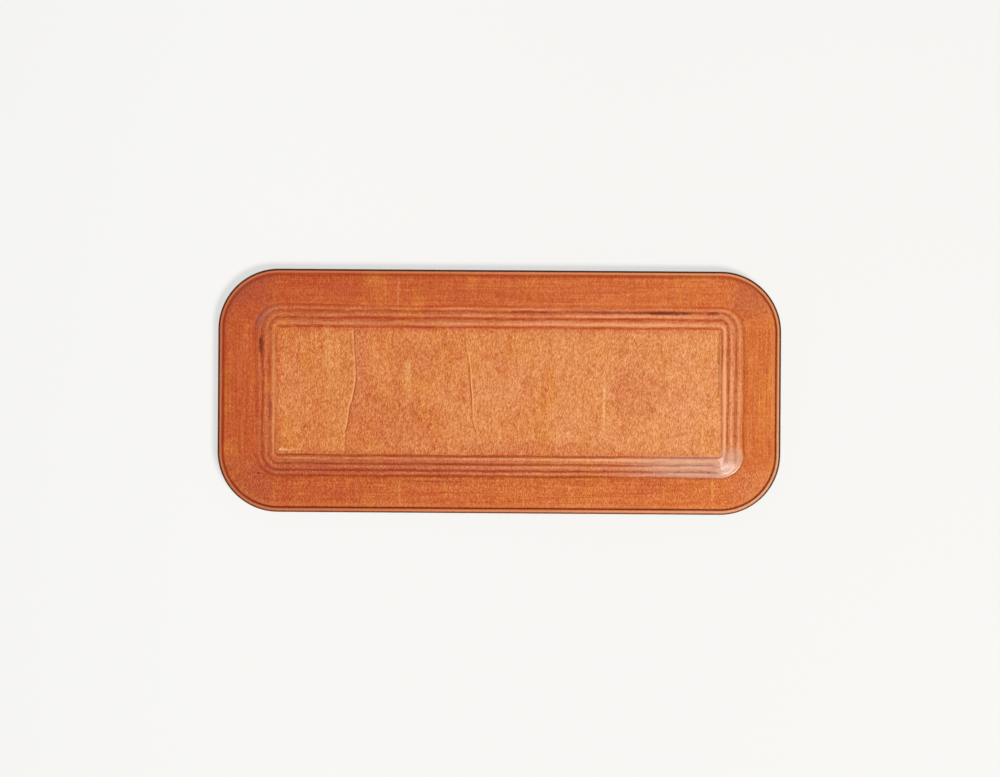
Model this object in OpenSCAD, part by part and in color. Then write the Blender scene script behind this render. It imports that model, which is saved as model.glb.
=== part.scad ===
// Shallow serving tray: leather moulded over a stiff shell.
// Every sheet follows one line from the rim to the well. The line runs round the
// tray on four straight sides and four quarter turns, and a flat slab closes the well.
// Origin: middle of the tray on the surface it stands on. +X long way, +Y short way, +Z up.
// Distances called "in" are measured inward from the outline.

/* [Outline] */
// Length of the tray
tray_length = 400; // [300:5:480]
// Width of the tray
tray_width = 173; // [150:1:240]
// Corner radius of the flat panel in the well
panel_corner_radius = 2.5; // [2:0.5:6]

/* [Border and rim bead] */
// Flat border, from the outline in to the first groove
border_width = 26; // [20:0.5:34]
// How far the border climbs from the well to the rim
border_rise = 0.8; // [0.5:0.1:3]
// How far in the middle of the rim bead lies
bead_in = 2.1; // [2:0.1:2.2]
// Radius of the rim bead's round top
bead_radius = 1.7; // [1.7:0.1:2]
// Depth of the crease between the bead and the border
crease_depth = 0.25; // [0.1:0.05:0.5]
// How far in the border's shoulder starts, past the crease
shoulder_in = 4.9; // [4.8:0.1:7]

/* [Reeded step into the well] */
// Depth of the well under the border
well_depth = 5; // [4.5:0.25:8]
// Number of reeds between the border and the panel
reed_count = 3; // [3:1:4]
// Width of the outermost reed
first_reed_width = 4.2; // [3.8:0.1:5]
// How much wider each reed is than the one outside it
reed_growth = 0.7; // [0:0.1:1]
// How much each reed climbs from its groove to its nose
reed_crown = 0.2; // [0:0.05:0.5]
// Steepness of the short riser under each nose, in degrees
riser_angle = 52; // [50:1:70]
// Radius of each rounded nose
nose_radius = 1; // [0.4:0.1:1.4]

/* [Sheets] */
// Thickness of the face leather
face_thickness = 1.4; // [1.2:0.1:2]
// Thickness of the pressed shell inside
core_thickness = 1.2; // [1:0.1:2.4]
// Thickness of the leather underneath
back_thickness = 0.8; // [0.6:0.1:1.4]
// Thickness of the pad that the tray stands on
pad_thickness = 0.8; // [0.6:0.1:1.6]
// Strip of underside left bare round the pad
pad_margin = 4; // [3:0.5:10]
// Thickness of the dark band round the cut edge
edge_thickness = 0.8; // [0.6:0.1:1]

/* [Rim wire] */
// Diameter of the wire in the rim bead
wire_diameter = 1.2; // [1:0.1:1.6]
// Room for glue round the wire
wire_clearance = 0.05; // [0.03:0.01:0.1]

/* [Hidden] */

$fn = 96;
nose_facets = 4;
bead_facets = 8;
channel_facets = 8;
band_facets = 4;

// A sheet that lies deeper in the stack is also moved outward by this share of its depth,
// which keeps every sheet about as thick on the risers as it is on the flats.
outward_share = 0.7;
// The panel stands this much over the last groove, over this width
panel_lift = 0.25;
panel_ease = 1.4;

core_depth = face_thickness;
back_depth = core_depth + core_thickness;
under_depth = back_depth + back_thickness;

well_floor = pad_thickness + under_depth;
border_inner_z = well_floor + well_depth;
border_slope = border_rise / (border_width - shoulder_in);

function groove_in(i) = border_width + i * first_reed_width + reed_growth * i * (i - 1) / 2;
last_groove_in = groove_in(reed_count);
corner_radius = last_groove_in + panel_corner_radius;
half_straight_x = tray_length / 2 - corner_radius;
half_straight_y = tray_width / 2 - corner_radius;

// The line of the top face ---------------------------------------------------------

riser_drop = (well_depth + panel_lift + reed_count * reed_crown) / (reed_count + 1);
function nose_z(i) = border_inner_z - i * (riser_drop - reed_crown);
function groove_z(i) = nose_z(i) - riser_drop;

// A rounded nose, then the riser straight down into its groove
function nose_and_groove(i) =
    let (round_end = 90 - riser_angle,
         centre_z = nose_z(i) - nose_radius,
         riser_top_z = centre_z + nose_radius * sin(round_end),
         riser_run = (riser_top_z - groove_z(i)) / tan(riser_angle),
         centre_in = groove_in(i) - riser_run - nose_radius * cos(round_end))
    concat(
        [for (k = [0 : nose_facets])
            let (a = 90 - riser_angle * k / nose_facets)
            [centre_in + nose_radius * cos(a), centre_z + nose_radius * sin(a)]],
        [[groove_in(i), groove_z(i)]]);

reed_line = [for (i = [0 : reed_count], p = nose_and_groove(i)) p];

function border_z(in) = border_inner_z + (border_width - in) * border_slope;
function border_z_at_depth(in, depth) = border_z(in + outward_share * depth) - depth;

// The whole line of one sheet's surface, from the cut edge in to the corner's centre
function reeds_and_floor(depth) = concat(
    [for (p = reed_line) [p[0] - outward_share * depth, p[1] - depth]],
    [[last_groove_in + panel_ease - outward_share * depth, well_floor - depth],
     [corner_radius, well_floor - depth]]);

function sheet_line(depth) = concat(
    [[edge_thickness, border_z_at_depth(edge_thickness, depth)]],
    reeds_and_floor(depth));

// The rim bead ----------------------------------------------------------------------

channel_radius = wire_diameter / 2 + wire_clearance;
wire_z = border_z_at_depth(bead_in - channel_radius, core_depth) + channel_radius;
crease_z = border_z(shoulder_in) - crease_depth;
bead_first_angle = 180 - acos((bead_in - edge_thickness) / bead_radius);
bead_last_angle = asin((crease_z - wire_z) / bead_radius);
edge_top_z = wire_z + bead_radius * sin(bead_first_angle);
edge_bottom_z = border_z_at_depth(edge_thickness, under_depth);

bead_line = [for (k = [0 : bead_facets])
    let (a = bead_first_angle + (bead_last_angle - bead_first_angle) * k / bead_facets)
    [bead_in + bead_radius * cos(a), wire_z + bead_radius * sin(a)]];

face_line = concat(
    bead_line,
    [[shoulder_in, border_z(shoulder_in)]],
    reeds_and_floor(0));

// The channel in the leather's underside that the wire lies in
wire_channel = concat(
    [[bead_in - channel_radius, border_z_at_depth(bead_in - channel_radius, core_depth)]],
    [for (k = [0 : channel_facets])
        let (a = 180 - 180 * k / channel_facets)
        [bead_in + channel_radius * cos(a), wire_z + channel_radius * sin(a)]],
    [[bead_in + channel_radius, border_z_at_depth(bead_in + channel_radius, core_depth)]]);

face_underside = concat(
    [[edge_thickness, border_z_at_depth(edge_thickness, core_depth)]],
    wire_channel,
    reeds_and_floor(core_depth));

function reversed(line) = [for (i = [len(line) - 1 : -1 : 0]) line[i]];

// Turns a distance in from the outline into a radius about the corner's centre
function as_radius(line) = [for (p = line) [corner_radius - p[0], p[1]]];

// Ways to build from a line -----------------------------------------------------------

// Carries a flat shape, drawn as radius and height, all the way round the tray
module round_the_tray() {
    for (side = [0 : 3]) {
        ends = side % 2 == 0;
        reach = ends ? half_straight_x : half_straight_y;
        run = ends ? half_straight_y : half_straight_x;
        rotate([0, 0, 90 * side]) {
            translate([reach, run, 0])
                rotate([90, 0, 0])
                    linear_extrude(2 * run)
                        children();
            translate([reach, run, 0])
                rotate_extrude(angle = 90)
                    children();
        }
    }
}

// One moulded sheet between two lines, closed by a slab over the panel
module moulded_sheet(upper, lower, top_depth, thickness) {
    union() {
        round_the_tray()
            polygon(as_radius(concat(upper, reversed(lower))));
        translate([-half_straight_x, -half_straight_y, well_floor - top_depth - thickness])
            cube([2 * half_straight_x, 2 * half_straight_y, thickness]);
    }
}

module rounded_rectangle(length, width, radius) {
    square([length - 2 * radius, width], center = true);
    square([length, width - 2 * radius], center = true);
    for (x = [-1, 1], y = [-1, 1])
        translate([x * (length / 2 - radius), y * (width / 2 - radius)])
            circle(radius);
}

// Sub-parts ---------------------------------------------------------------------------

// Tan leather face, moulded down over the shell and the rim wire
module face_leather() {
    color([0.80, 0.44, 0.22])
        moulded_sheet(face_line, face_underside, 0, face_thickness);
}

// Pressed fibreboard shell that holds the tray's form
module core_shell() {
    color([0.68, 0.60, 0.48])
        moulded_sheet(sheet_line(core_depth), sheet_line(back_depth), core_depth, core_thickness);
}

// Steel wire that stands the rim bead up
module rim_wire() {
    color([0.62, 0.63, 0.65])
        round_the_tray()
            translate([corner_radius - bead_in, wire_z])
                circle(d = wire_diameter);
}

// Leather lining of the underside
module back_leather() {
    color([0.62, 0.33, 0.17])
        moulded_sheet(sheet_line(back_depth), sheet_line(under_depth), back_depth, back_thickness);
}

// Near-black band that seals the cut edges of the three sheets
band_middle_z = (edge_top_z + edge_bottom_z) / 2;
band_half_height = (edge_top_z - edge_bottom_z) / 2;
band_corner = edge_thickness * 0.9;
band_line = concat(
    [for (k = [0 : band_facets])
        let (a = 90 * k / band_facets)
        [edge_thickness - band_corner * sin(a) - (edge_thickness - band_corner) * k / band_facets,
         band_middle_z + band_half_height - band_corner * (1 - cos(a))]],
    [for (k = [band_facets : -1 : 0])
        let (a = 90 * k / band_facets)
        [edge_thickness - band_corner * sin(a) - (edge_thickness - band_corner) * k / band_facets,
         band_middle_z - band_half_height + band_corner * (1 - cos(a))]]);

module edge_band() {
    color([0.10, 0.07, 0.06])
        round_the_tray()
            polygon(as_radius(band_line));
}

// Suede pad on the flat underside, which the tray stands on
pad_in = last_groove_in + panel_ease - outward_share * under_depth + pad_margin;

module base_pad() {
    color([0.34, 0.22, 0.15])
        linear_extrude(pad_thickness)
            rounded_rectangle(tray_length - 2 * pad_in, tray_width - 2 * pad_in,
                              panel_corner_radius + pad_margin);
}

face_leather();
core_shell();
rim_wire();
back_leather();
edge_band();
base_pad();
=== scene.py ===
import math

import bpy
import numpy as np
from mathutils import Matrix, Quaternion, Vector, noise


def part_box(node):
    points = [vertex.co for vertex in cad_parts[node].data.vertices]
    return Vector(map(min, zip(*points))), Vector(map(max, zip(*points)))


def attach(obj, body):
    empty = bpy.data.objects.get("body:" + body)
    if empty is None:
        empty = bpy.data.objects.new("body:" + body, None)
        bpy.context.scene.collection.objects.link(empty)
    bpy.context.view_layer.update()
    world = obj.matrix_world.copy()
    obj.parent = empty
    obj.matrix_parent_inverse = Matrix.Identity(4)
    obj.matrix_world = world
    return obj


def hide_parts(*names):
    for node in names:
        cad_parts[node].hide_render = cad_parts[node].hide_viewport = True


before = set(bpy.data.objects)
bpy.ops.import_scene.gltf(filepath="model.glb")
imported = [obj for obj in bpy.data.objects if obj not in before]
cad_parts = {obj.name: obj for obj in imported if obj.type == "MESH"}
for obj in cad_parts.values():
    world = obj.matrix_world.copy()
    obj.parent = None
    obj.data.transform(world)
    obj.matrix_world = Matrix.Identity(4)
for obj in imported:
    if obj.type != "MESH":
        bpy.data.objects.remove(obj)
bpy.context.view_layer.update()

# Looks of a leather-faced serving tray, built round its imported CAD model.
#
# The tray is one line, from the rim into the well, carried round four straight sides and four
# quarter turns. "In" is the distance inward from the outline, in millimetres. Lengths are
# millimetres throughout, and become metres where a mesh, a lamp or the camera is made.

MM = 0.001


def node_box(name):
    """Lowest and highest corner of a CAD node, in millimetres."""
    low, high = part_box(name)
    return np.array(low) / MM, np.array(high) / MM


# ---------------------------------------------------------------- the drawing, as in the CAD model

OUTLINE_LOW, OUTLINE_HIGH = node_box("edge_band")
LENGTH = OUTLINE_HIGH[0] - OUTLINE_LOW[0]
WIDTH = OUTLINE_HIGH[1] - OUTLINE_LOW[1]
PAD_LOW, PAD_HIGH = node_box("base_pad")
RIM_TOP = node_box("face_leather")[1][2]

BORDER_WIDTH = 26.0
FIRST_REED_WIDTH = 4.2
REED_GROWTH = 0.7
REED_COUNT = 3
REED_CROWN = 0.2
RISER_ANGLE = math.radians(52)
NOSE_RADIUS = 1.0
WELL_DEPTH = 5.0
BORDER_RISE = 0.8
SHOULDER_IN = 4.9
CREASE_DEPTH = 0.25
BEAD_IN = 2.1
BEAD_RADIUS = 1.7
PANEL_CORNER_RADIUS = 2.5
PANEL_LIFT = 0.25
PANEL_EASE = 1.4
FACE_THICKNESS = 1.4
CORE_THICKNESS = 1.2
BACK_THICKNESS = 0.8
EDGE_THICKNESS = 0.8
OUTWARD_SHARE = 0.7

CORE_DEPTH = FACE_THICKNESS
BACK_DEPTH = CORE_DEPTH + CORE_THICKNESS
UNDER_DEPTH = BACK_DEPTH + BACK_THICKNESS
WELL_FLOOR = PAD_HIGH[2] + UNDER_DEPTH
BORDER_INNER_Z = WELL_FLOOR + WELL_DEPTH
BORDER_SLOPE = BORDER_RISE / (BORDER_WIDTH - SHOULDER_IN)

GROOVES = [BORDER_WIDTH + i * FIRST_REED_WIDTH + REED_GROWTH * i * (i - 1) / 2
           for i in range(REED_COUNT + 1)]
CORNER_RADIUS = GROOVES[-1] + PANEL_CORNER_RADIUS
RISER_DROP = (WELL_DEPTH + PANEL_LIFT + REED_COUNT * REED_CROWN) / (REED_COUNT + 1)


def nose_and_groove(i):
    """The rounded nose over groove i, then the groove's foot."""
    nose_z = BORDER_INNER_Z - i * (RISER_DROP - REED_CROWN)
    groove_z = nose_z - RISER_DROP
    round_end = math.pi / 2 - RISER_ANGLE
    riser_top_z = nose_z - NOSE_RADIUS + NOSE_RADIUS * math.sin(round_end)
    riser_run = (riser_top_z - groove_z) / math.tan(RISER_ANGLE)
    centre_in = GROOVES[i] - riser_run - NOSE_RADIUS * math.cos(round_end)
    angles = np.linspace(math.pi / 2, round_end, 6)
    nose = [(centre_in + NOSE_RADIUS * math.cos(a), nose_z - NOSE_RADIUS + NOSE_RADIUS * math.sin(a))
            for a in angles]
    return nose + [(GROOVES[i], groove_z)]


def border_z(inward, depth=0.0):
    """Height of a sheet's surface over the border; depth is how deep it lies in the stack."""
    return BORDER_INNER_Z + (BORDER_WIDTH - inward - OUTWARD_SHARE * depth) * BORDER_SLOPE - depth


def reeds_and_floor(depth):
    line = [p for i in range(REED_COUNT + 1) for p in nose_and_groove(i)]
    line.append((GROOVES[-1] + PANEL_EASE, WELL_FLOOR))
    line = [(p[0] - OUTWARD_SHARE * depth, p[1] - depth) for p in line]
    return line + [(CORNER_RADIUS, WELL_FLOOR - depth)]


def sheet_line(depth):
    return np.array([(EDGE_THICKNESS, border_z(EDGE_THICKNESS, depth))] + reeds_and_floor(depth))


WIRE_Z = (node_box("rim_wire")[0][2] + node_box("rim_wire")[1][2]) / 2
CREASE_Z = border_z(SHOULDER_IN) - CREASE_DEPTH
BEAD_FIRST_ANGLE = math.pi - math.acos((BEAD_IN - EDGE_THICKNESS) / BEAD_RADIUS)
BEAD_LAST_ANGLE = math.asin((CREASE_Z - WIRE_Z) / BEAD_RADIUS)
CREASE_IN = BEAD_IN + BEAD_RADIUS * math.cos(BEAD_LAST_ANGLE)


def face_line():
    angles = np.linspace(BEAD_FIRST_ANGLE, BEAD_LAST_ANGLE, 24)
    bead = [(BEAD_IN + BEAD_RADIUS * math.cos(a), WIRE_Z + BEAD_RADIUS * math.sin(a)) for a in angles]
    return np.array(bead + [(SHOULDER_IN, border_z(SHOULDER_IN))] + reeds_and_floor(0.0))


def softened(line, places, spread):
    """Heights of a line at the given places, rounded as leather rounds a form."""
    step = 0.05
    fine = np.arange(line[0, 0], line[-1, 0], step)
    heights = np.interp(fine, line[:, 0], line[:, 1])
    reach = np.arange(-3 * spread, 3 * spread + step, step)
    weights = np.exp(-0.5 * (reach / spread) ** 2)
    padded = np.pad(heights, len(reach) // 2, mode="edge")
    soft = np.convolve(padded, weights / weights.sum(), mode="valid")[: len(fine)]
    return np.interp(places, fine, soft)


# ---------------------------------------------------------------- meshes carried round the tray

# Rings on the outer side of the bead that still count as the face's upper side
OUTER_BEAD_RINGS = 8


def new_object(name, data):
    made = bpy.data.objects.new(name, data)
    bpy.context.scene.collection.objects.link(made)
    return made


def smooth_piece(name, points, faces):
    mesh = bpy.data.meshes.new(name)
    mesh.from_pydata((points * MM).tolist(), [], faces)
    mesh.polygons.foreach_set("use_smooth", [True] * len(mesh.polygons))
    mesh.update()
    return new_object(name, mesh)


class Outline:
    """Stations round a rounded rectangle, and the grid of lines inside its corner centres.

    A point at radius r over a station is base + r * out. At radius 0 the stations of a corner
    fall together on the grid's corner, and those of a side are the grid's own edge."""

    def __init__(self, length, width, radius, x_lines, y_lines, corner_steps):
        self.radius = radius
        self.half_x = length / 2 - radius
        self.half_y = width / 2 - radius
        self.x_lines = x_lines * self.half_x
        self.y_lines = y_lines * self.half_y
        nx, ny = len(x_lines), len(y_lines)
        last_x, last_y = nx - 1, ny - 1
        sides = [
            [(last_x, j) for j in range(ny)],
            [(i, last_y) for i in range(last_x, -1, -1)],
            [(0, j) for j in range(last_y, -1, -1)],
            [(i, 0) for i in range(nx)],
        ]
        base, out, along, grid, turn = [], [], [], [], []
        travelled = 0.0
        corner_length = radius * 0.6 * math.pi / 2
        for side, cells in enumerate(sides):
            start = side * math.pi / 2
            for k, (i, j) in enumerate(cells):
                place = (self.x_lines[i], self.y_lines[j])
                if k:
                    travelled += math.dist(place, base[-1])
                base.append(place)
                out.append((math.cos(start), math.sin(start)))
                along.append(travelled)
                grid.append((i, j))
                turn.append(float(side))
            for k in range(1, corner_steps):
                share = k / corner_steps
                angle = start + share * math.pi / 2
                base.append(place)
                out.append((math.cos(angle), math.sin(angle)))
                along.append(travelled + share * corner_length)
                grid.append((i, j))
                turn.append(side + share)
            travelled += corner_length
        self.base = np.array(base)
        self.out = np.array(out)
        self.along = np.array(along)
        self.grid = grid
        self.turn = np.array(turn)
        self.around = travelled
        self.count = len(base)


def ring_stack(outline, line):
    """The points of all stations at every (inward, z) of a line, one ring after another."""
    radii = outline.radius - line[:, 0]
    ring_xy = outline.base[None] + radii[:, None, None] * outline.out[None]
    heights = np.repeat(line[:, 1], outline.count).reshape(len(line), outline.count, 1)
    return np.concatenate([ring_xy, heights], axis=2).reshape(-1, 3)


def swept_shell(name, outline, rings):
    """A closed shell, from the middle of the underside out, round the edge and in again on top.

    rings is a list of (inward, z). Returns the object, its points and, for every point, its
    inward distance, its station (or -1 on a cap) and whether it is on the upper side."""
    n = outline.count
    nx, ny = len(outline.x_lines), len(outline.y_lines)
    rings = np.array(rings)
    ring_points = ring_stack(outline, rings)
    gx, gy = np.meshgrid(outline.x_lines, outline.y_lines, indexing="ij")
    caps = [np.stack([gx.ravel(), gy.ravel(), np.full(gx.size, z)], axis=1)
            for z in (rings[0, 1], rings[-1, 1])]
    points = np.concatenate([ring_points] + caps)

    def ring(r, s):
        return r * n + s % n

    def cap(which, cell):
        return len(ring_points) + which * nx * ny + cell[0] * ny + cell[1]

    faces = [(ring(r, s), ring(r, s + 1), ring(r + 1, s + 1), ring(r + 1, s))
             for r in range(len(rings) - 1) for s in range(n)]
    last = len(rings) - 1
    for s in range(n):
        a, b = outline.grid[s], outline.grid[(s + 1) % n]
        if a == b:
            faces.append((cap(0, a), ring(0, s + 1), ring(0, s)))
            faces.append((ring(last, s), ring(last, s + 1), cap(1, a)))
        else:
            faces.append((cap(0, a), cap(0, b), ring(0, s + 1), ring(0, s)))
            faces.append((ring(last, s), ring(last, s + 1), cap(1, b), cap(1, a)))
    for i in range(nx - 1):
        for j in range(ny - 1):
            square = [(i, j), (i + 1, j), (i + 1, j + 1), (i, j + 1)]
            faces.append(tuple(cap(1, c) for c in square))
            faces.append(tuple(cap(0, c) for c in reversed(square)))

    first_upper = int(np.argmax(rings[:, 1])) - OUTER_BEAD_RINGS
    inward = np.concatenate([np.repeat(rings[:, 0], n), np.full(2 * nx * ny, outline.radius)])
    station = np.concatenate([np.tile(np.arange(n), len(rings)), np.full(2 * nx * ny, -1)])
    upper = np.concatenate([np.repeat(np.arange(len(rings)) >= first_upper, n),
                            np.zeros(nx * ny, bool), np.ones(nx * ny, bool)])
    return smooth_piece(name, points, faces), points, inward, station, upper


def swept_ring(name, outline, section):
    """A closed hoop. section is a loop of (inward, z): out at the bottom, up, in, and down again.

    Returns the object, its points and, for every point, its inward distance and its station."""
    n = outline.count
    section = np.array(section)
    points = ring_stack(outline, section)

    def at(r, s):
        return r % len(section) * n + s % n

    faces = [(at(r, s), at(r, s + 1), at(r + 1, s + 1), at(r + 1, s))
             for r in range(len(section)) for s in range(n)]
    inward = np.repeat(section[:, 0], n)
    station = np.tile(np.arange(n), len(section))
    return smooth_piece(name, points, faces), points, inward, station


def add_attributes(piece, **named):
    """Gives every point its value, or its vector, under each name."""
    for name, values in named.items():
        kind, field = ("FLOAT", "value") if values.ndim == 1 else ("FLOAT_VECTOR", "vector")
        attribute = piece.data.attributes.new(name, kind, "POINT")
        attribute.data.foreach_set(field, values.astype(np.float32).ravel())


def finish_points(piece, outline, points, inward, station):
    """Moves a piece's points, and lets its material run along and across the outline."""
    along = np.where(station >= 0, outline.along[station], 0.0)
    circle = along / outline.around * 2 * math.pi
    reach = outline.around / (2 * math.pi)
    lay = np.stack([reach * np.cos(circle), reach * np.sin(circle), inward], axis=1)
    add_attributes(piece, lay=lay, place=points, inward=inward)
    piece.data.vertices.foreach_set("co", (points * MM).astype(np.float32).ravel())
    piece.data.update()


def dense_lines(step, centres, half_reach, fine_step, half_length):
    """Lines across the grid, from -1 to 1, that lie closer together about each centre."""
    places = [-half_length]
    while places[-1] < half_length:
        near = min(abs(places[-1] - c) for c in centres)
        places.append(places[-1] + (fine_step if near < half_reach else step))
    places = np.array(places)
    return (places - places[0]) / (places[-1] - places[0]) * 2 - 1


def noise_at(points, scale, seed=0.0):
    """Smooth noise from about -1 to 1 at every point; scale is the size of a wave."""
    offset = Vector((seed, seed * 0.37, seed * 0.71))
    return np.array([noise.noise(Vector(p) / scale + offset) for p in points])


# ---------------------------------------------------------------- the face leather

# The four sides, in the order that Outline counts them
RIGHT, BACK, LEFT, FRONT = range(4)

# How far each groove of a side lies from the drawing, from the outermost groove inward
GROOVE_WANDER = {
    RIGHT: (0.6, 2.0, 2.5, 1.0),
    BACK: (-0.1, -0.4, -0.5, 0.1),
    LEFT: (1.0, 1.2, 1.2, 0.1),
    FRONT: (0.4, 0.1, -0.1, 0.0),
}
# How dark each groove of a side is painted
GROOVE_DARKENING = {
    RIGHT: (0.05, 0.3, 0.35, 0.0),
    BACK: (0.35, 0.7, 0.8, 0.65),
    LEFT: (0.6, 0.9, 0.6, 0.15),
    FRONT: (0.6, 0.6, 0.4, 0.35),
}
# How pale the nose beside each groove is painted: partly rubbed wear, partly painted highlight, strongest
# on the right's inner nose
NOSE_RUB_AND_HIGHLIGHT = {
    RIGHT: (0.2, 0.45, 0.65, 1.5),
    BACK: (0.3, 0.6, 0.6, 0.95),
    LEFT: (0.2, 0.45, 0.6, 1.2),
    FRONT: (0.1, 0.3, 0.4, 0.7),
}
# How far down the last riser of a side the pale paint reaches: painted light over the riser's shade
RISER_PAINTED_LIGHT = {RIGHT: 1.25, BACK: 0.7, LEFT: 1.5, FRONT: 0.7}
# The crease inside the bead: a sharp dark line on the right and front, part crease and part painted shadow
# of the bead, and a broad red painted shade on the back and left
CREASE_LINE_AND_SHADOW = {RIGHT: 0.95, BACK: 0.15, LEFT: 0.3, FRONT: 1.0}
CREASE_PAINTED_SHADE = {RIGHT: 0.25, BACK: 0.62, LEFT: 0.85, FRONT: 0.30}
# How far inward of the crease that shade lies
SHADE_WANDER = {RIGHT: 0.0, BACK: 0.55, LEFT: 0.0, FRONT: 0.0}
# A fine dark line at the foot of each groove
FOOT_LINE = {
    RIGHT: (0.0, 0.15, 0.2, 0.0),
    BACK: (0.55, 0.45, 0.5, 0.6),
    LEFT: (0.3, 0.5, 0.3, 0.15),
    FRONT: (0.65, 0.6, 0.55, 0.8),
}
# Painted light on the shoulder inside the crease, on the sides that face the key lamp
SHOULDER_PAINTED_LIGHT = {RIGHT: 0.55, BACK: 0.0, LEFT: 0.1, FRONT: 0.6}
# How far the black of the edge reaches onto the bead: partly bled edge dye, partly painted shade, weakest
# on the front
EDGE_BLEED_AND_SHADE = {RIGHT: 0.95, BACK: 1.0, LEFT: 0.95, FRONT: 0.35}

# Two wrinkles cross the panel: points along them, from the back edge to the front
FIRST_WRINKLE = [(-104.3, 43), (-103.8, 32), (-103.2, 24), (-102.4, 12.5), (-102.4, 8), (-103.8, 0),
                 (-105, -6.5), (-106.6, -10.5), (-107.5, -18), (-108.5, -24), (-109.6, -28.5),
                 (-110.2, -40.5)]
SECOND_WRINKLE = [(-24.4, 42), (-24.2, 35.5), (-23.4, 29), (-21.5, 20.5), (-20.7, 12.5), (-20.3, 4.7),
                  (-19.5, -3), (-19.1, -11), (-18.8, -20), (-17.9, -24), (-16.3, -28), (-15.7, -34),
                  (-15.7, -39), (-17, -43.5)]
# The blister where the first wrinkle meets the back edge
BLISTER_CENTRE = (-101.4, 40.6)
BLISTER_RADIUS = 2.6

# How far in the face's rings reach, before the grid of lines across its panel takes over
FACE_RINGS_END = 42.6
# Where the rubbing of the reeds starts and is full, and the slope that takes the reeds' place
REEDS_RISE = (24.5, 27.0)
SLOPE_START = 25.0
SLOPE_END = 41.4

x_lines = dense_lines(2.4, [-106.5, -20.0], 7.5, 0.4, LENGTH / 2 - CORNER_RADIUS)
y_lines = dense_lines(1.5, [40.0], 4.0, 0.6, WIDTH / 2 - CORNER_RADIUS)
face_outline = Outline(LENGTH, WIDTH, CORNER_RADIUS, x_lines, y_lines, 28)


def bump_at(places, centre, outer_reach, inner_reach):
    """One smooth hump over places, with its own reach outward and inward of its centre."""
    away = places - centre
    reach = np.where(away < 0, outer_reach, inner_reach)
    return np.exp(-((away / reach) ** 2))


def by_side(table, turn, groove=None):
    """A side's value, blended round the corners. turn counts quarter turns from the right side."""
    values = np.array([table[side] if groove is None else table[side][groove] for side in range(4)])
    low = np.floor(turn).astype(int) % 4
    share = ramp(turn - np.floor(turn), 0.0, 1.0)
    return values[low] * (1 - share) + values[(low + 1) % 4] * share


def corner_share(turn):
    """0 along the sides and 1 in the middle of each corner."""
    share = turn - np.floor(turn)
    return 4 * share * (1 - share)


def ring_noise(outline, wave, seed):
    """Smooth noise from about -1 to 1 at every station; wave is the length of a wave."""
    angles = outline.along / outline.around * 2 * math.pi
    reach = outline.around / (2 * math.pi) / wave
    return np.array([noise.noise(Vector((reach * math.cos(a), reach * math.sin(a), seed * 7.3 + 0.5)))
                     for a in angles])


def right_of(points, line):
    """How far to the right of a wrinkle each point lies."""
    ys = [p[1] for p in line[::-1]]
    xs = [p[0] for p in line[::-1]]
    return points[:, 0] - np.interp(points[:, 1], ys, xs)


def ramp(values, low, high):
    """0 up to low, 1 from high on, and smooth between them."""
    share = np.clip((values - low) / (high - low), 0, 1)
    return share * share * (3 - 2 * share)


def hill(values, rise, fall):
    """Rises from 0 to 1 over one pair of values and falls again over another."""
    return ramp(values, *rise) * ramp(-values, -fall[1], -fall[0])


def face_shell():
    """The plain face, with its lines close together where the reeds and the bead turn."""
    bead_angles = np.linspace(BEAD_FIRST_ANGLE, BEAD_LAST_ANGLE, 14)
    top_places = np.concatenate([
        BEAD_IN + BEAD_RADIUS * np.cos(bead_angles),
        np.arange(CREASE_IN + 0.15, 6.0, 0.3),
        np.arange(6.4, 23.0, 1.6),
        np.arange(23.4, FACE_RINGS_END, 0.4)])
    top_rings = np.stack([top_places, softened(face_line(), top_places, 0.28)], axis=1)
    under_places = np.arange(EDGE_THICKNESS, FACE_RINGS_END, 5.0)
    under_line = sheet_line(CORE_DEPTH)
    under_heights = np.interp(under_places, under_line[:, 0], under_line[:, 1])
    under_rings = np.stack([under_places, under_heights], axis=1)
    return swept_shell("face_hide", face_outline, np.concatenate([under_rings[::-1], top_rings]))


def wander_reeds(points, inward, station, turn, on_top):
    """Moves the reeds a little off the drawing, by side."""
    shift = np.zeros(len(points))
    lift = np.zeros(len(points))
    for i, groove in enumerate(GROOVES):
        weight = bump_at(inward, groove, 2.6, 2.6)
        wobble = 0.38 * ring_noise(face_outline, 26, i) + 0.2 * ring_noise(face_outline, 8, i + 9)
        shift += weight * (by_side(GROOVE_WANDER, turn, i) + wobble[station])
        lift += 0.14 * weight * ring_noise(face_outline, 17, i + 20)[station]
    points[:, :2] -= face_outline.out[station] * (shift * on_top)[:, None]
    points[:, 2] += lift * on_top


def rubbed_down(points):
    """How far the reeds are rubbed down: most at the corner of the right and front sides."""
    x, y = points[:, 0], points[:, 1]
    front = 0.72 * ramp(x, 55.0, 140.0) * ramp(-y, 40.0, 44.0)
    corner = 0.95 * ramp(x, 146.0, 157.0) * ramp(-y, 32.0, 51.0)
    return np.maximum(front, corner)


def melt_reeds(points, inward, rubbed, on_top):
    """Brings the reeds down to one smooth slope where they are rubbed."""
    slope_share = np.clip((inward - SLOPE_START) / (SLOPE_END - SLOPE_START), 0, 1)
    slope_z = BORDER_INNER_Z + slope_share * (WELL_FLOOR + 0.1 - BORDER_INNER_Z)
    melt = rubbed * hill(inward, REEDS_RISE, (39.5, 41.6))
    points[:, 2] += melt * (slope_z - points[:, 2]) * on_top


def ripple_hide(points, inward, upper):
    """Gives the hide slow waves, since it is never quite flat."""
    waves = np.zeros(len(points))
    top = points[upper]
    waves[upper] = 0.13 * noise_at(top, 24.0, 1.0) + 0.05 * noise_at(top, 7.0, 5.0)
    points[:, 2] += waves * ramp(inward, 4.5, 8.0)


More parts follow.
